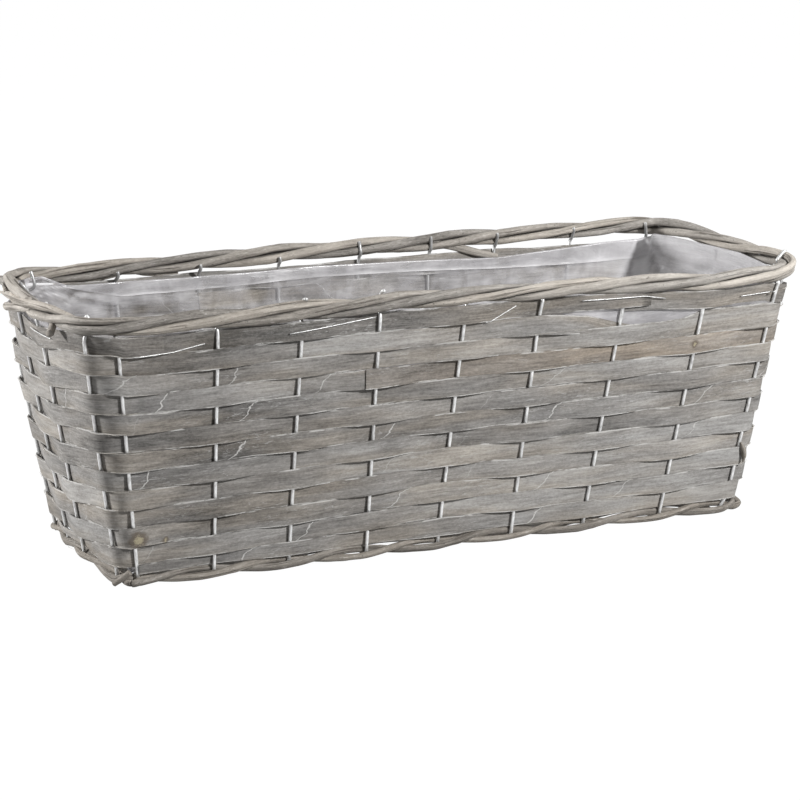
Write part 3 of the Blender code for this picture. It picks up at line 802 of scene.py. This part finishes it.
def add_rim():
    whole = wall_length(SECTIONS, RIM_HEIGHT)
    start = wall_length(RIM_SEAM_PLACE, RIM_HEIGHT)
    along = np.linspace(start + RIM_END_GAP, start + whole - RIM_END_GAP, 900)
    places = wall_place(along, RIM_HEIGHT)
    axis = wall_points(places, RIM_HEIGHT, -rim_pull(places))
    axis[:, 2] = rim_height(places)
    for rod in range(RIM_RODS):
        outward, height = rim_centre(places, rod)
        outward = outward + unsteady(along, 33 * MM, 11 * MM, 62 + rod)
        path = wall_points(places, RIM_HEIGHT, outward)
        path[:, 2] = height + unsteady(along, 37 * MM, 12 * MM, 72 + rod)
        points, faces, grain = tube(path, RIM_ROD_RADIUS, 18, rod_surface(60 + rod, 0.08, 0.10))
        # Each rod's own tone, plus painted light and shade by place
        tones = 0.5 * (rod - 1) + np.interp(places % SECTIONS, RIM_PAINTED_LIGHT_PLACES, RIM_PAINTED_LIGHT)
        kind = stacked(tones, 0.1 + 0.3 * rod, 5.0 + rod)
        # Painted shade on the sides of the rods that face the twist's axis, carried in the crease attribute
        inward = axis - path
        inward /= np.linalg.norm(inward, axis=1)[:, None]
        facing = ((points - path[:, None]) * inward[:, None]).sum(-1) / RIM_ROD_RADIUS
        painted_gap_shade = np.zeros(grain.shape)
        painted_gap_shade[..., 0] = ease(0.1, 0.8, facing)
        kinds = {"grain": grain, "splint": kind[:, None] + 0 * grain, "crease": painted_gap_shade}
        add_piece(f"rim_willow_{rod + 1}", [(points, faces, kinds)], PALE_WILLOW, [f"rim_rod_{rod + 1}"])


# Ends of rods that stick out, in millimetres: a path, then the radius at each of its points
ROD_ENDS = (
    ("rim_rod_end_1", ((-261, 2, 176), (-261.5, 21, 177), (-262, 38, 179), (-262, 50, 183)),
     (2.5, 3.0, 3.1, 2.4)),
    ("rim_rod_end_2", ((-260, 2, 172), (-260.5, 24, 172.5), (-260.3, 48, 171), (-259.8, 74, 168.7)),
     (2.5, 2.9, 2.5, 0.5)),
    ("rim_rod_end_3", ((-257, -42, 173), (-261, -49, 169), (-265, -55, 165)), (2.4, 2.6, 2.5)),
    ("rim_rod_end_5", ((-260.6, -5, 172), (-260, 28, 166.5), (-259.4, 58, 161.5)), (2.5, 3.3, 3.1)),
    ("rim_rod_end_4", ((60, 101.5, 176), (84, 99.5, 171), (108, 97, 163.5), (122, 96, 160.5)),
     (2.4, 2.8, 2.6, 1.7)),
    ("rim_rod_end_6", ((-164, 104, 172.5), (-154, 104, 170.5), (-143, 103.5, 168), (-124, 103, 165.5)),
     (2.6, 3.0, 3.0, 2.2)),
    ("rim_rod_end_7", ((-214, 101, 163.5), (-196, 103, 165.5), (-176, 104, 167.8), (-156, 104.5, 171.5)),
     (2.4, 2.9, 2.9, 2.4)),
    ("border_rod_end", ((-233.5, -73.5, 2.6), (-229, -76.5, 6.5), (-224.5, -79.5, 11.0)), (2.0, 2.2, 2.0)),
    ("border_splinter", ((222.5, -85.5, 51), (224.6, -86, 46), (225.4, -86, 41), (224.3, -86.3, 37)),
     (0.8, 2.2, 1.8, 0.5)),
)


def smoothed(path, rounds):
    for _ in range(rounds):
        path[1:-1] = path[1:-1] * 0.5 + (path[:-2] + path[2:]) * 0.25
    return path


def add_rod_ends():
    for number, (name, path, radii) in enumerate(ROD_ENDS):
        step = np.linspace(0, len(path) - 1, 26)
        known = range(len(path))
        points = np.stack([np.interp(step, known, column) for column in zip(*path)], -1) * MM
        add_rod(name, smoothed(points, 12), np.interp(step, known, radii) * MM, 14,
                DARK_WILLOW if name.startswith("border") else PALE_WILLOW,
                kind=[0.2, 0.4, 40.0 + number], around=rod_surface(500 + 7 * number, 0.10, 0.12))


# Where the border rods start and end, counted in stakes from the front left corner's, and how far
# they are drawn in there and along the left end, in millimetres by place
BORDER_START, BORDER_END = -0.22, -0.25
BORDER_PULLS = ((0.0, 1.6), (0.2, 0.0), (5.0, 0.0), (5.6, 2.2), (7.9, 2.2), (8.0, 1.6))


def add_border():
    feet = stake_places(BORDER_HEIGHT)
    stakes = np.concatenate([feet[-2:] - SECTIONS, feet])
    lengths = wall_length(stakes, BORDER_HEIGHT)
    turns = np.linspace(BORDER_START, len(feet) + BORDER_END, 800)
    along = np.interp(turns, np.arange(len(stakes)) - 1, lengths)
    places = wall_place(along, BORDER_HEIGHT)
    tight = np.interp(places % SECTIONS, *zip(*BORDER_PULLS)) * MM
    reach = BORDER_REACH - tight * 0.6
    for rod in range(2):
        twist = math.pi * (turns + rod)
        path = wall_points(places, BORDER_HEIGHT, reach * np.cos(twist) - tight * 0.5)
        # Each rod sinks where it runs outside the stakes
        path[:, 2] += BORDER_RISE * np.sin(twist) * 0.75 - 1.1 * MM * np.cos(twist)
        path[:, 2] += 0.3 * MM * wander(along, 30 * MM, 70 + rod)
        path[:, 2] = np.maximum(path[:, 2], BORDER_ROD_RADIUS * 1.05)
        add_rod(f"border_willow_{rod + 1}", path, BORDER_ROD_RADIUS, 14, DARK_WILLOW,
                [f"border_rod_{rod + 1}"], [0.3 * rod, 0.2 + 0.3 * rod, 9.0 + rod],
                rod_surface(80 + rod, 0.09, 0.12))


# Degrees round the rim at which a hook's bend starts, and between its points
HOOK_START, HOOK_STEP = -100, 6


def hook_path(place, last_degrees, stand, lean, tuck=0.0):
    """Round the inner side of the rim rods and over their top, where it stands off and leans over."""
    centres = [rim_centre(place, rod) for rod in range(RIM_RODS)]
    reach = RIM_ROD_RADIUS + STAKE_RADIUS * 0.7
    path = []
    for degrees in range(HOOK_START, last_degrees, -HOOK_STEP):
        way = np.array([math.cos(math.radians(degrees)), math.sin(math.radians(degrees))])
        outward, height = max(centres, key=lambda c: c[0] * way[0] + c[1] * way[1])
        over = float(ease(150, 235, -degrees))
        own = reach * (1 - tuck * (1 - over)) + stand * MM * over
        side = wall_place(wall_length(place, RIM_HEIGHT) + lean * MM * over, RIM_HEIGHT)
        point = wall_points(side, RIM_HEIGHT, outward + own * way[0])
        path.append(np.array([point[0], point[1], height + own * way[1]]))
    return path


# How far the hooks turn over the rim, in degrees, how far they stand off it and lean along it, in
# millimetres, and whether they come up among the rods
HOOKS = {
    "front": (-220, 0.0, 0.5), "right": (-264, 0.9, 1.2, 1.0), "back": (-204, 0.0, 0.6),
    "left": (-232, 0.2, 1.0), "front_1": (-215, 0.0, 0.3), "front_left": (-200, 0.0, 0.0),
    "front_2": (-290, 0.7, 1.9), "front_3": (-284, 0.8, 1.7), "right_1": (-266, 0.5, 1.2, 1.0),
}
# The wire at the front left corner ends behind the border rods
FEET = {"front_left": 7.0 * MM}


def add_stakes():
    for index, name in enumerate(STAKE_NAMES):
        hook = hook_path(STAKE_TOPS[index], *HOOKS.get(name, HOOKS[name.split("_")[0]]))
        levels = np.linspace(FEET.get(name, STAKE_RADIUS * 0.6), hook[0][2] - 5 * MM, 50)
        places = np.array([stake_places(level)[index] for level in levels])
        path = np.concatenate([wall_points(places, levels), np.array(hook)])
        add_rod(f"wire_{name}", smoothed(path, 3), STAKE_RADIUS, 12, WIRE, [f"stake_{name}"])


# Tie wires over the top rounds: places, with heights as shares of the rim's
TIE_WIRES = (
    ((-0.033, 0.880), (0.07, 0.889), (0.118, 0.909)),
    ((0.238, 0.920), (0.367, 0.950)),
    ((0.536, 0.889), (0.582, 0.946)),
    ((0.686, 0.943), (0.786, 0.941), (0.822, 0.923)),
    ((0.951, 0.903), (1.09, 0.916)),
    ((6.47, 0.897), (6.73, 0.897)),
)
TIE_WIRE_LIFT = SPLINT_THICKNESS / 2 + TIE_WIRE_RADIUS + 1.0 * MM


def add_tie_wires():
    for number, ends in enumerate(TIE_WIRES):
        places = np.linspace(ends[0][0], ends[-1][0], 24)
        heights = np.interp(places, [p for p, _ in ends], [h * RIM_HEIGHT for _, h in ends])
        outward = []
        for place, height in zip(places, heights):
            own = place + SECTIONS if place < WEAVE_START else place
            pitch, first = pitch_and_height(0, own)
            turn = min(round(float((height - first) / pitch)), FULL_ROUNDS)
            outward.append(WEAVE_OFFSET * float(weave_swing(turn, own)))
        path = wall_points(places, heights, np.array(outward) + TIE_WIRE_LIFT)
        add_rod(f"thin_wire_{number + 1}", path, TIE_WIRE_RADIUS, 8, WIRE, [f"tie_wire_{number + 1}"])


def add_base():
    half_length, half_width, _ = wall_sizes(BORDER_HEIGHT)
    margin = BORDER_REACH + BORDER_ROD_RADIUS + CLEARANCE
    reach, half = half_length - margin, half_width - margin
    sticks = [share * reach for share in BASE_STICK_SHARES]
    for number, x in enumerate(sticks):
        path = np.linspace((x, -half, BASE_STICK_HEIGHT), (x, half, BASE_STICK_HEIGHT), 60)
        add_rod(f"base_rod_{number + 1}", path, BASE_STICK_RADIUS, 14, PALE_WILLOW,
                [f"base_stick_{number + 1}"], [0.1 * number, 0.3, 20.0 + number],
                rod_surface(90 + number, 0.04))
    width = (2 * half - CLEARANCE * (BASE_SPLINTS - 1)) / BASE_SPLINTS
    for number in range(BASE_SPLINTS):
        end = reach - (BASE_CORNER_RADIUS if number in (0, BASE_SPLINTS - 1) else 0.0)
        x = np.linspace(-end, end, 180)
        known, levels = [-end], [-1.0]
        for stick, stick_x in enumerate(sticks):
            side = 1.0 if (stick + number) % 2 else -1.0
            known += [stick_x - 10 * MM, stick_x + 10 * MM]
            levels += [side, side]
        rise = np.sin(np.interp(x, known + [end], levels + [-1.0]) * math.pi / 2)
        low, high = SPLINT_THICKNESS / 2, BASE_TOP - SPLINT_THICKNESS / 2
        middle = -half + number * (width + CLEARANCE) + width / 2
        share = np.linspace(-1, 1, 7)[None, :]
        y = middle + share * width / 2 + 0.3 * MM * wander(x, 12 * MM, 100 + number)[:, None] * share**3
        z = ((low + high) / 2 + (high - low) / 2 * rise)[:, None]
        shape = [stacked(x[:, None], y, z + side * SPLINT_THICKNESS / 2) for side in (1, -1)]
        grain = stacked(x[:, None], y, share)
        kind = np.broadcast_to([0.5 * wander(number, 1.0, 5), 0.3, 30.0 + number], grain.shape)
        add_piece(f"base_chip_{number + 1}", [plate(*shape, {"grain": grain, "splint": kind})],
                  BASE_SPLINT, [f"base_splint_{number + 1}"], sharp=True)


# Height of the film's upper edge and how far below it the inner flap hangs, in millimetres
FILM_PLACES = (
    0.0, 0.5, 1.0, 1.6, 2.3, 2.7, 3.2, 3.8, 4.06, 4.24,
    4.41, 4.61, 4.865, 4.93, 4.946, 4.98, 5.6, 6.2, 7.2, 8.0)
FILM_TOPS = (
    167, 167.5, 168, 169, 175, 173.5, 169, 165, 165, 160.5,
    163, 164.7, 164.7, 164.7, 165.5, 173, 172, 172, 169, 167)
FLAP_DROPS = (9, 9, 9, 12, 16, 16, 14, 14, 14, 8, 7.5, 8, 10, 3, 2, 2, 8, 14, 10, 9)
# Painted light and shade: light and dark bands that fan out from the fold in the back left corner,
# by millimetres below the edge
FOLD_PLACE = 4.946
PAINTED_FOLD_BANDS = (
    (0.0, 0.1), (2.0, 0.4), (4.2, -0.7), (6.2, -0.5), (9.0, 0.8),
    (12.0, 0.7), (13.5, 1.1), (16.0, -0.9), (22.0, -0.6), (26.0, 0.0))
FILM_FLOOR = 8.6 * MM
FILM_FLOOR_INSET = 5 * MM
FILM_TURN_IN = 4.6 * MM
FILM_COLUMNS = 900
FILM_WALL_ROWS = 60
# How the film stands in the weave's gap: where that lies, above which heights, and how far inside
GAP_PLACES = (0.62, 0.70, 0.88, 0.92)
GAP_HEIGHTS = (136 * MM, 143 * MM)
GAP_INSET = 1.9 * MM


def add_film():
    """The bag: a slack floor, walls that hang in shallow folds, and a flap turned down inside."""
    around = wall_length(SECTIONS, RIM_HEIGHT)
    along = np.linspace(0, around, FILM_COLUMNS, endpoint=False)
    places = wall_place(along, RIM_HEIGHT)
    corner = np.abs(np.sin(math.pi * places / 2)) ** 6
    top = np.interp(places, FILM_PLACES, FILM_TOPS) * MM + 0.7 * MM * wander(along, 50 * MM, 200)
    drop = np.interp(places, FILM_PLACES, FLAP_DROPS) * MM
    right_end = ease(1.7, 2.0, places) - ease(3.8, 4.2, places)
    left_end = ease(4.93, 5.1, places) - ease(7.6, 7.9, places)
    # Painted light that lifts the shade in the back right corner
    back_corner_painted_light = ease(3.2, 3.6, places) - ease(3.96, 4.12, places)
    # At the right end its edge lies over the inner side of the hooks
    turned = FILM_TURN_IN * (ease(1.3, 1.8, places) - ease(3.2, 3.6, places))
    # Millimetres beyond the fold in the back left corner
    beyond = (wall_length(FOLD_PLACE, RIM_HEIGHT) - along) / MM
    spread = 0.25 + 0.75 * np.clip(beyond / 38, 0, 1)
    painted_fold_span = ease(0, 6, beyond) * (1 - ease(50, 110, beyond))
    rows, grains, milks = [], [], []

    def add_row(height, inset, across, milk, bright=0.0, shade=0.0, drawn_in=0.0):
        height = np.broadcast_to(height, places.shape)
        row = wall_points(places, height, -inset)
        middle = stacked(np.clip(row[:, 0], -floor_line, floor_line), 0.0, row[:, 2])
        rows.append(row + (middle - row) * drawn_in)
        grains.append(stacked(along, across, 0.0))
        below = (top - height) / MM
        # Painted light and shade of the film's folds near the back left corner
        painted_fold_band = np.interp((below - 1.5) / spread, *zip(*PAINTED_FOLD_BANDS), left=0.0) * painted_fold_span
        lines = [below - 1.0 - 0.42 * np.abs(beyond), below - 8.7 + 0.05 * beyond * np.abs(beyond) / 4]
        crease = sum(np.clip(1 - np.abs(line) / 2.2, 0, 1) ** 2 for line in lines)
        crease = crease * ease(-1, 1, -beyond) * (beyond > -26)
        milks.append(stacked(milk, bright, 0.17 * painted_fold_band + 0.5 * crease + shade))

    def folds(height):
        """How far the film stands off the weave: long level folds, and slanting ones at corners."""
        values = []
        for s, z, c in zip(along, np.broadcast_to(height, along.shape), corner):
            level = noise.noise((s / (95 * MM), z / (15 * MM) + s / (260 * MM), 1.7))
            slant = noise.noise((s / (22 * MM) + z / (13 * MM), z / (40 * MM), 6.1))
            values.append(1.3 * level + (0.5 + 1.6 * c) * slant)
        return np.array(values)

    def slants(height):
        """Broad slanting bands where the film is more or less milky."""
        levels = np.broadcast_to(height, along.shape)
        return np.array([noise.noise((s / (20 * MM) + z / (11 * MM), z / (55 * MM), 3.3))
                         for s, z in zip(along, levels)])

    half_length, half_width, _ = wall_sizes(FILM_FLOOR)
    floor_line, floor_half = half_length - half_width, half_width - FILM_FLOOR_INSET
    for share in (0.94, 0.75, 0.5, 0.25, 0.08):
        add_row(FILM_FLOOR + 0.5 * MM * wander(along, 30 * MM, 210), FILM_FLOOR_INSET,
                -floor_half * share, 0.42, drawn_in=share)
    for level in range(FILM_WALL_ROWS):
        share = 1 - (1 - level / (FILM_WALL_ROWS - 1)) ** 1.5
        height = FILM_FLOOR + (top - FILM_FLOOR) * share
        deep = math.sin(math.pi * min(share * 1.05, 1) ** 0.7) ** 0.5
        slack = 4.4 * MM + 4.0 * MM * corner + 1.5 * MM * np.maximum(folds(height), -0.7) * deep
        through = ease(*GAP_PLACES[:2], places) * (1 - ease(*GAP_PLACES[2:], places))
        through = through * ease(*GAP_HEIGHTS, height)
        slack = slack * (1 - through) + GAP_INSET * through + turned * ease(0.84, 1.0, share)
        # bright paints light on the film at the right end and in the back right corner
        add_row(height, slack, share * 0.16, 0.40 + 0.36 * right_end + 0.22 * left_end + 0.35 * through,
                0.3 * right_end + 0.7 * back_corner_painted_light,
                0.22 * slants(height) - 0.20 * through + 0.25 * back_corner_painted_light)
    # Where the hem's painted highlight shows, and how strongly
    no_hem_highlight = ease(4.8, 4.95, places) * (places < 5.9)
    hem_highlight_places = (1 - 0.5 * right_end) * (1 - no_hem_highlight) * (0.6 + 0.4 * wander(along, 60 * MM, 230))
    for level, share in enumerate((0.0, 0.1, 0.25, 0.45, 0.65, 0.82, 0.93, 1.0)):
        height = top - drop * share
        slack = 5.0 * MM + 4.0 * MM * corner + 0.6 * MM * folds(height) + 0.25 * MM * share
        # Painted highlight: the hem's folded edge is made milky and pale
        hem_highlight = (0.8 * (share > 0.92) + 0.35 * (0.8 < share < 0.92)) * hem_highlight_places
        add_row(height, slack + turned * (1 - share), 0.17 + level * 1.5 * MM,
                0.50 + 0.28 * right_end + 0.4 * hem_highlight, np.maximum(hem_highlight, 0.3 * right_end),
                0.15 * slants(height))
    points = np.stack(rows)
    faces = grid_faces(len(rows), len(along), closed=True)
    faces.append(tuple(range(len(along))))
    made = add_piece("film_bag", [(points, faces, {"grain": np.stack(grains), "splint": np.stack(milks)})],
                     FILM, ["liner"])


FIBRES = 520


def add_fibres():
    """Splinters that stand off the edges of the splints."""
    pick = np.random.default_rng(300)
    islands = []
    for _ in range(FIBRES):
        turn = int(pick.integers(0, FULL_ROUNDS))
        start = pick.uniform(WEAVE_START, SECTIONS)
        length = pick.uniform(5, 26) * MM * (1.6 if pick.random() < 0.12 else 1.0)
        upper = 1 if pick.random() < 0.5 else -1
        pitch, _ = pitch_and_height(turn, start)
        places = spiral_place(turn, spiral_length(turn, start) + np.linspace(0, length, 7))
        share = np.linspace(0, 1, 7)
        lift = pick.uniform(0.1, 1.0) * MM
        drift = pick.uniform(-0.9, 1.4) * MM
        heights = pitch_and_height(turn, places)[1] + upper * (pitch / 2 - 0.2 * MM + drift * share**1.6)
        outward = WEAVE_OFFSET * weave_swing(turn, places) + 0.5 * MM + lift * np.sin(math.pi * share)
        radius = np.interp(share, (0, 0.3, 1), (0.07, 0.15, 0.04)) * MM * pick.uniform(0.7, 1.4)
        heights = np.minimum(heights, rim_height(places) - STRIP_BELOW_RIM)
        points, faces, grain = tube(wall_points(places, heights, outward), radius, 3)
        islands.append((points, faces, {"grain": grain}))
    add_piece("splint_fibres", islands, FIBRE)


def add_floor():
    """A white sweep that keeps a faint shadow. Straight to the camera, in mirrors and through glass it
    shows its glow, and it lights the object as plain grey."""
    far = FLOOR_HALF_SIZE
    mesh = bpy.data.meshes.new("floor")
    mesh.from_pydata([(-far, -far, 0), (far, -far, 0), (far, far, 0), (-far, far, 0)], [], [(0, 1, 2, 3)])
    made = placed("floor", mesh)
    made.location.z = -FLOOR_DROP
    surface = Surface("white_floor", Roughness=0.9, Specular_IOR_Level=0.0)
    surface.set("Base Color", FLOOR_GREY)
    glow = surface.node("Emission", sockets={"Color": (1.0, 1.0, 1.0), "Strength": FLOOR_GLOW})
    rays = surface.node("LightPath").socket.node.outputs
    camera, glass, mirror = (
        Value(surface, rays[f"Is {kind} Ray"]) for kind in ("Camera", "Transmission", "Glossy"))
    blend = surface.tree.nodes.new("ShaderNodeMixShader")
    surface.fill(blend.inputs[0], camera.larger(glass).larger(mirror) * FLOOR_GLOW_SHARE)
    surface.tree.links.new(surface.shader.outputs[0], blend.inputs[1])
    surface.tree.links.new(glow.socket, blend.inputs[2])
    surface.tree.links.new(blend.outputs[0], surface.tree.nodes["Material Output"].inputs[0])
    mesh.materials.append(surface.material)


def add_lamp(name, place, width, power):
    data = bpy.data.lights.new(name, "AREA")
    data.shape = "DISK"
    data.size = width
    data.energy = power
    made = placed(name, data)
    made.location = place
    way = np.array(LAMP_TARGET) - np.array(place)
    yaw = math.atan2(way[1], way[0])
    pitch = math.atan2(way[2], math.hypot(way[0], way[1]))
    made.rotation_euler = (pitch + math.pi / 2, 0.0, yaw - math.pi / 2)


def add_light():
    world = bpy.data.worlds.new("studio")
    world.use_nodes = True
    bpy.context.scene.world = world
    tree = world.node_tree
    shade = tree.nodes["Background"]
    shade.inputs["Color"].default_value = (1.0, 1.0, 1.0, 1.0)
    rays = tree.nodes.new("ShaderNodeLightPath")
    strength = tree.nodes.new("ShaderNodeMapRange")
    tree.links.new(rays.outputs["Is Camera Ray"], strength.inputs["Value"])
    strength.inputs["To Min"].default_value = WORLD_LIGHT
    strength.inputs["To Max"].default_value = 1.0
    tree.links.new(strength.outputs[0], shade.inputs["Strength"])
    for name, lamp in LAMPS.items():
        add_lamp(name, *lamp)


def add_camera():
    data = bpy.data.cameras.new("camera")
    data.angle = 2 * math.atan(HALF_PICTURE_PIXELS / FOCAL_PIXELS)
    made = placed("camera", data)
    made.location = CAMERA_PLACE
    made.rotation_euler = (math.pi / 2 - CAMERA_PITCH, 0.0, -CAMERA_YAW)
    bpy.context.scene.camera = made


bpy.context.scene.view_settings.view_transform = "Standard"
add_camera()
add_light()
add_floor()
add_splints()
add_rim()
add_rod_ends()
add_border()
add_stakes()
add_tie_wires()
add_base()
add_film()
add_fibres()
